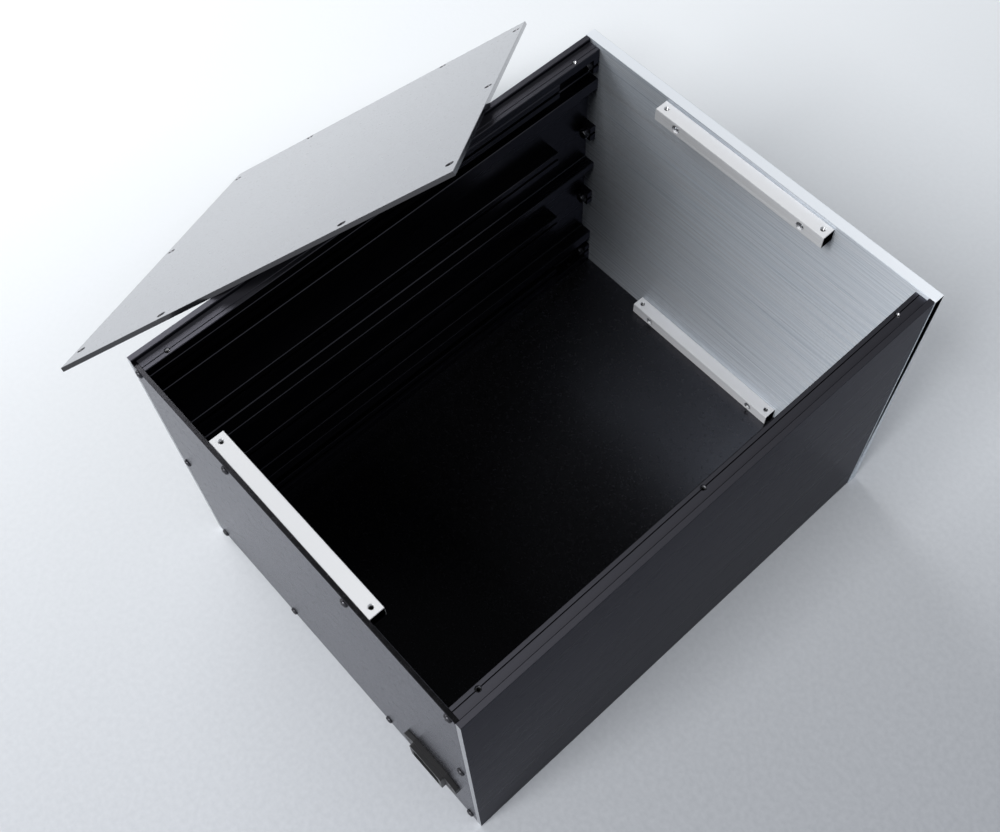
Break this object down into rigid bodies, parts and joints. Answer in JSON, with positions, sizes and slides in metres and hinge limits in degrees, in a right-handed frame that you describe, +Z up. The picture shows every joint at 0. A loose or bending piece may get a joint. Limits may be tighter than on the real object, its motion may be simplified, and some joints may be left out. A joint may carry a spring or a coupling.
{
  "type": "amplifier chassis",
  "caption": "Open aluminium amplifier enclosure with a thick front panel, extruded side panels, plates tied by bars, and its top cover leaning against one side.",
  "frame": {"origin": "on the table under the chassis, midway between the side panels and midway along them", "axes": "+X to the right as seen from the front, +Y to the rear, +Z up"},
  "size_m": [0.5433, 0.4471, 0.3161],
  "materials": {
    "brushed_aluminium": "brushed, natural anodised",
    "bar_aluminium": "as milled",
    "black_anodised": "black anodised, satin",
    "black_extrusion": "black anodised extrusion, semi-gloss",
    "inlet_plastic": "moulded",
    "black_steel": "black oxide",
    "zinc_steel": "zinc plated",
    "nickel": "nickel plated"
  },
  "bodies": {
    "root": {"front_panel": "brushed_aluminium", "rear_panel": "black_anodised", "side_panel_left": "black_extrusion", "side_panel_right": "black_extrusion", "base_plate": "black_anodised", "top_cover": "black_anodised", "front_top_bar": "bar_aluminium", "front_bottom_bar": "bar_aluminium", "rear_top_bar": "bar_aluminium", "rear_bottom_bar": "bar_aluminium", "inlet_housing": "inlet_plastic", "inlet_screws": "black_steel", "inlet_nuts": "zinc_steel", "front_side_screws_left": "black_steel", "front_side_screws_right": "black_steel", "front_top_bar_screws": "zinc_steel", "front_bottom_bar_screws": "zinc_steel", "rear_top_bar_screws": "black_steel", "rear_bottom_bar_screws": "black_steel", "rear_side_screws_left": "black_steel", "rear_side_screws_right": "black_steel", "base_side_screws": "black_steel", "base_bar_screws": "black_steel", "inlet_line_pin": "nickel", "inlet_neutral_pin": "nickel", "inlet_earth_pin": "nickel"}
  },
  "joints": []
}
